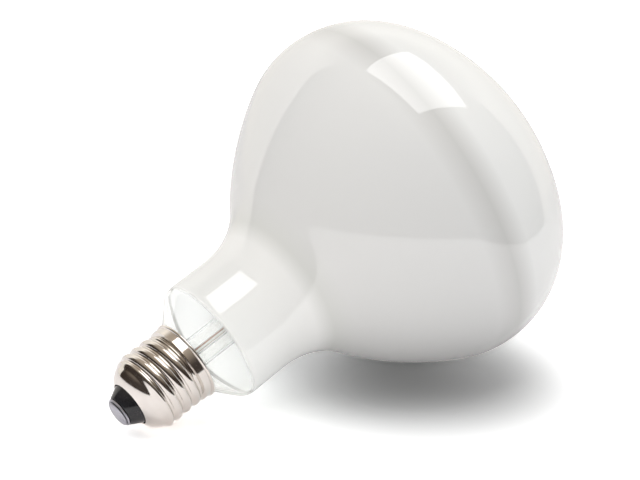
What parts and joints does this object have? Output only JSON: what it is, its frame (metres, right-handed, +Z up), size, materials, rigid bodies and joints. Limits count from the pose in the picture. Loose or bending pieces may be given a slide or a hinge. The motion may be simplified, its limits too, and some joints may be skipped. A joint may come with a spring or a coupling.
{
  "type": "halogen photoflood bulb",
  "caption": "Reflector photoflood lamp with a screw cap, a long neck and a broad shallow dome, lying on its side.",
  "frame": {"origin": "centre of the bounding box on the surface that the lamp lies on", "axes": "+Z up, +X from the cap towards the dome, whose axis rises at about 25 degrees, +Y level across the lamp"},
  "size_m": [0.1614, 0.1246, 0.1194],
  "materials": {
    "coated_glass": "glossy outside over a satin white coat, clear at the foot of the neck",
    "plated_cap": "bright nickel plate",
    "black_glass": "glossy black",
    "solder": "dull grey",
    "cement": "matt",
    "clear_glass": "clear",
    "copper_wire": "bare copper",
    "nickel_wire": "satin nickel",
    "dark_metal": "dark refractory metal"
  },
  "bodies": {
    "root": {"glass_envelope": "coated_glass", "cap_shell": "plated_cap", "cap_insulator": "black_glass", "centre_contact": "plated_cap", "centre_solder": "solder", "rim_solder": "solder", "basing_cement": "cement", "glass_stem": "clear_glass", "exhaust_tube": "clear_glass", "centre_lead": "copper_wire", "side_lead": "copper_wire", "centre_support_wire": "nickel_wire", "side_support_wire": "nickel_wire", "capsule_bulb": "clear_glass", "centre_foil": "dark_metal", "side_foil": "dark_metal", "centre_pin": "dark_metal", "side_pin": "dark_metal", "filament": "dark_metal"}
  },
  "joints": []
}
